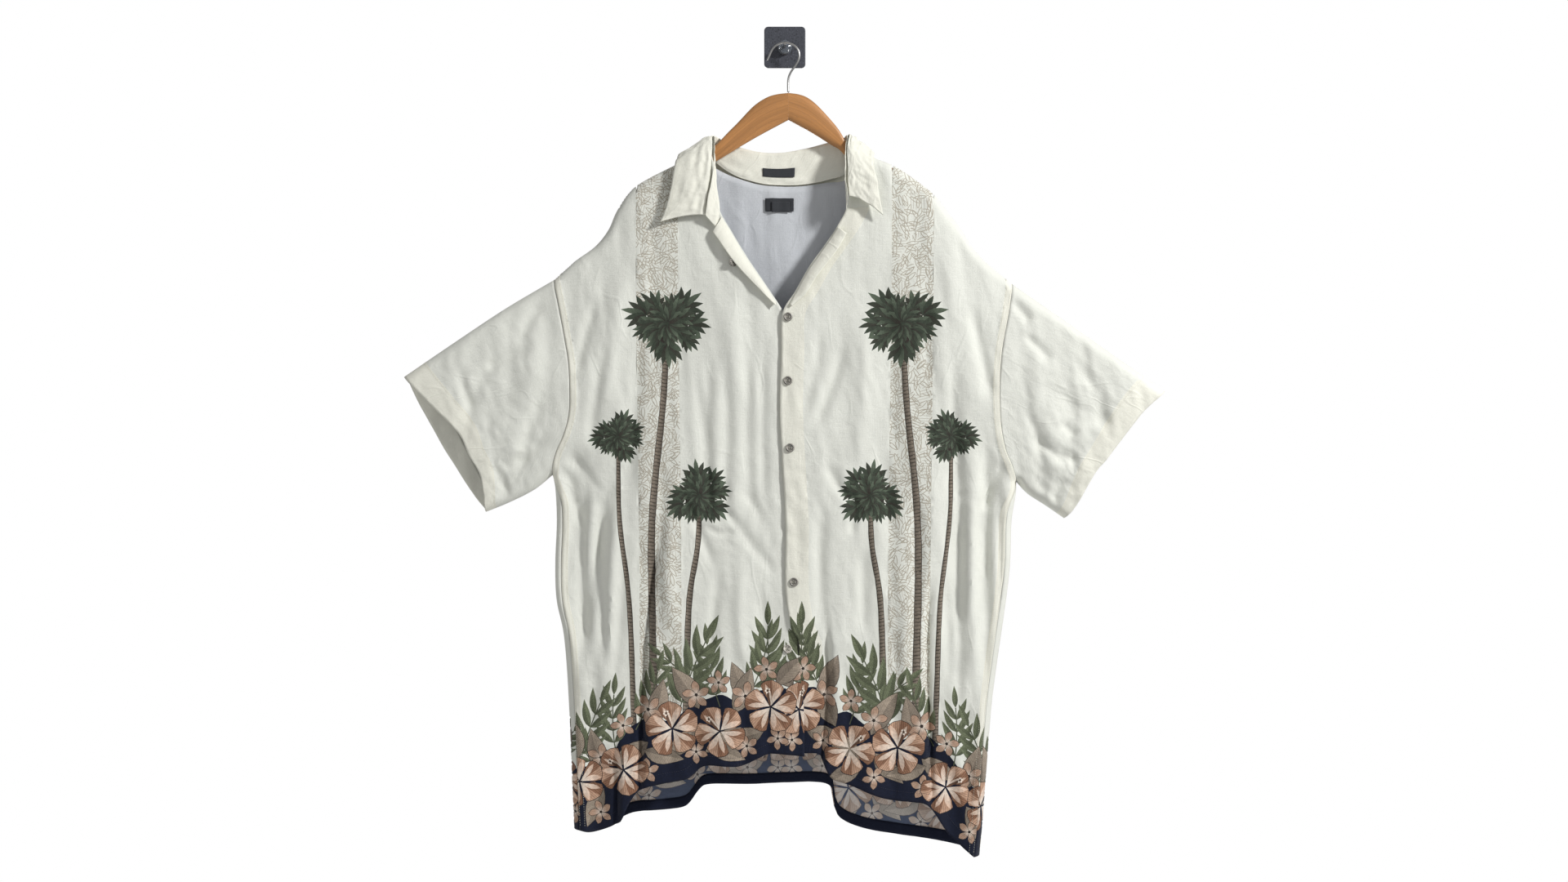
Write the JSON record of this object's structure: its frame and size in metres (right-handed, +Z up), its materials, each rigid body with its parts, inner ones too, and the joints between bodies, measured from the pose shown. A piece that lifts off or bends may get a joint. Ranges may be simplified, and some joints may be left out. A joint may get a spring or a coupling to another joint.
{
  "type": "hawaiian shirt on a wooden hanger and wall hook",
  "caption": "Short-sleeved printed shirt, open at the neck with a camp collar, hanging nearly flat on a wooden hanger from a small wall hook.",
  "frame": {"origin": "centre of the wall pad's flat back face, where the hook meets the wall", "axes": "+X to the viewer's right (the wearer's left), +Y into the wall, +Z up"},
  "size_m": [1.091, 0.0716, 1.194],
  "materials": {
    "printed_cloth": "off-white rayon with a navy, tan and green printed border of blooms, leaves and palms",
    "facing_cloth": "cream double layer of the same rayon",
    "button_shell": "grey pearl with a dark swirl",
    "label_cloth": "bare charcoal woven label",
    "hanger_wood": "clear-lacquered light wood",
    "steel_wire": "bright plated steel",
    "wall_pad": "dark grey with fine light and dark specks",
    "clear_boss": "clear moulded plastic"
  },
  "bodies": {
    "root": {"back": "printed_cloth", "back_hem": "printed_cloth", "front_left": "printed_cloth", "front_right": "printed_cloth", "sleeve_left": "printed_cloth", "sleeve_right": "printed_cloth", "placket_left": "facing_cloth", "lapel_left": "facing_cloth", "lapel_right": "facing_cloth", "cuff_left": "facing_cloth", "cuff_right": "facing_cloth", "collar_fall": "facing_cloth", "collar_stand": "facing_cloth", "button_1": "button_shell", "button_2": "button_shell", "button_3": "button_shell", "button_5": "button_shell", "button_6": "button_shell", "button_collar": "button_shell", "label_neck": "label_cloth", "label_size": "label_cloth", "label_stand": "label_cloth", "hanger_arm_left": "hanger_wood", "hanger_arm_right": "hanger_wood", "hanger_hook": "steel_wire", "wall_peg": "steel_wire", "wall_pad": "wall_pad", "wall_boss": "clear_boss"}
  },
  "joints": []
}
